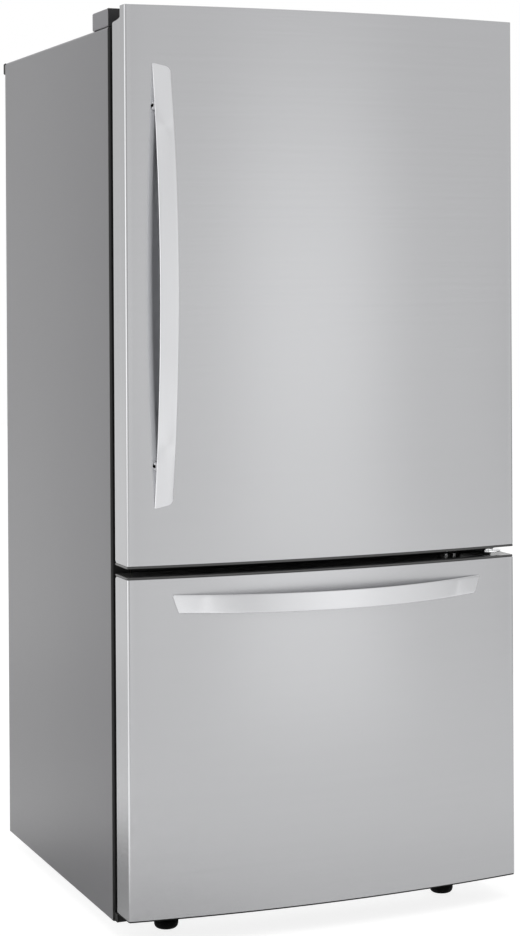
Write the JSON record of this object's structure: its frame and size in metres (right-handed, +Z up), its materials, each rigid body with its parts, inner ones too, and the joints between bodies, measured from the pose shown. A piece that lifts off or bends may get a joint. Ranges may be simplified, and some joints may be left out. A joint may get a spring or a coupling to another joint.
{
  "type": "bottom freezer refrigerator",
  "caption": "Bottom freezer refrigerator with a bowed steel door on a right-hand hinge over a pull-out freezer drawer, bowed strip handles and a fitted interior.",
  "frame": {"origin": "on the floor, under the centre of the overall box that runs from the drawer handle to the rear spacers", "axes": "+X to the right seen from the front, -Y towards the person who opens the door, +Z up"},
  "size_m": [0.832, 0.933, 1.794],
  "materials": {
    "case_paint": "satin textured paint",
    "stainless": "fine horizontal grain",
    "galvanised": "zinc coated, dull",
    "black_plastic": "fine texture",
    "black_steel": "satin black paint",
    "grey_plastic": "fine texture",
    "door_seal": "matt",
    "liner_white": "glossy",
    "clear_plastic": "clear",
    "shelf_glass": "clear",
    "foam": "open cut foam",
    "bare_aluminium": "mill finish"
  },
  "bodies": {
    "cabinet": {"cabinet_shell": "case_paint", "back_panel": "galvanised", "base_frame": "galvanised", "cabinet_foam": "foam", "fridge_liner": "liner_white", "freezer_liner": "liner_white", "mullion_cover": "black_steel", "top_cover": "grey_plastic", "top_hinge": "galvanised", "middle_hinge": "black_steel", "base_cover": "black_plastic", "rear_spacer_left": "black_plastic", "rear_spacer_right": "black_plastic", "machine_cover": "galvanised", "compressor": "black_steel", "condenser": "black_steel", "condenser_fan_motor": "galvanised", "drain_pan": "black_plastic", "evaporator": "bare_aluminium", "evaporator_cover": "liner_white", "air_duct": "liner_white", "lamp_housing": "liner_white", "pantry_shelf": "shelf_glass", "crisper_shelf": "shelf_glass", "upper_shelf_left": "shelf_glass", "upper_shelf_right": "shelf_glass", "lower_shelf": "shelf_glass", "slide_outer_right": "galvanised", "slide_outer_left": "galvanised"},
    "door": {"door_skin": "stainless", "door_top_cap": "grey_plastic", "door_bottom_cap": "grey_plastic", "door_liner": "liner_white", "door_gasket": "door_seal", "door_handle": "stainless", "door_bin_lower": "clear_plastic", "door_bin_middle": "clear_plastic", "door_bin_upper": "clear_plastic", "dairy_box": "liner_white"},
    "drawer": {"drawer_skin": "stainless", "drawer_top_cap": "grey_plastic", "drawer_liner": "liner_white", "drawer_gasket": "door_seal", "drawer_handle": "stainless", "slide_bracket_left": "galvanised", "slide_bracket_right": "galvanised", "freezer_basket": "clear_plastic"},
    "dairy_lid": {"dairy_lid": "clear_plastic"},
    "freezer_tray": {"freezer_tray": "clear_plastic"},
    "slide_middle": {"slide_middle_left": "galvanised", "slide_middle_right": "galvanised"},
    "pantry_drawer": {"pantry_drawer": "clear_plastic"},
    "crisper_left": {"crisper_left": "clear_plastic"},
    "crisper_right": {"crisper_right": "clear_plastic"},
    "condenser_fan": {"condenser_fan": "black_plastic"},
    "evaporator_fan": {"evaporator_fan": "liner_white"},
    "levelling_leg_left": {"levelling_leg_left": "black_plastic"},
    "levelling_leg_right": {"levelling_leg_right": "black_plastic"},
    "rear_roller_left": {"rear_roller_left": "black_plastic"},
    "rear_roller_right": {"rear_roller_right": "black_plastic"}
  },
  "joints": [
    {"name": "door_swing", "type": "hinge", "parent": "cabinet", "child": "door", "pos_m": [0.376, -0.3385, 0.722], "axis": [0, 0, 1], "range_deg": [0, 108]},
    {"name": "drawer_slide", "type": "slide", "parent": "cabinet", "child": "drawer", "axis": [0, -1, 0], "range_m": [0, 0.4]},
    {"name": "slide_middle_travel", "type": "slide", "parent": "cabinet", "child": "slide_middle", "axis": [0, -1, 0], "range_m": [0, 0.2]},
    {"name": "tray_slide", "type": "slide", "parent": "drawer", "child": "freezer_tray", "axis": [0, -1, 0], "range_m": [0, 0.16]},
    {"name": "pantry_slide", "type": "slide", "parent": "cabinet", "child": "pantry_drawer", "axis": [0, -1, 0], "range_m": [0, 0.07]},
    {"name": "crisper_left_slide", "type": "slide", "parent": "cabinet", "child": "crisper_left", "axis": [0, -1, 0], "range_m": [0, 0.07]},
    {"name": "crisper_right_slide", "type": "slide", "parent": "cabinet", "child": "crisper_right", "axis": [0, -1, 0], "range_m": [0, 0.07]},
    {"name": "dairy_lid_lift", "type": "hinge", "parent": "door", "child": "dairy_lid", "pos_m": [0, -0.2905, 1.59], "axis": [1, 0, 0], "range_deg": [0, 78]},
    {"name": "condenser_fan_spin", "type": "hinge", "parent": "cabinet", "child": "condenser_fan", "pos_m": [-0.022, 0.3515, 0.148], "axis": [1, 0, 0], "continuous": true},
    {"name": "evaporator_fan_spin", "type": "hinge", "parent": "cabinet", "child": "evaporator_fan", "pos_m": [0, 0.2995, 0.572], "axis": [0, 1, 0], "continuous": true},
    {"name": "left_leg_turn", "type": "hinge", "parent": "cabinet", "child": "levelling_leg_left", "pos_m": [-0.3025, -0.2655, 0.03], "axis": [0, 0, 1], "continuous": true},
    {"name": "right_leg_turn", "type": "hinge", "parent": "cabinet", "child": "levelling_leg_right", "pos_m": [0.3025, -0.2655, 0.03], "axis": [0, 0, 1], "continuous": true},
    {"name": "left_roller_roll", "type": "hinge", "parent": "cabinet", "child": "rear_roller_left", "pos_m": [-0.34, 0.3775, 0.02], "axis": [1, 0, 0], "continuous": true},
    {"name": "right_roller_roll", "type": "hinge", "parent": "cabinet", "child": "rear_roller_right", "pos_m": [0.34, 0.3775, 0.02], "axis": [1, 0, 0], "continuous": true}
  ],
  "couplings": [
    {"joint": "slide_middle_travel", "follows": "drawer_slide", "ratio": 0.5}
  ]
}
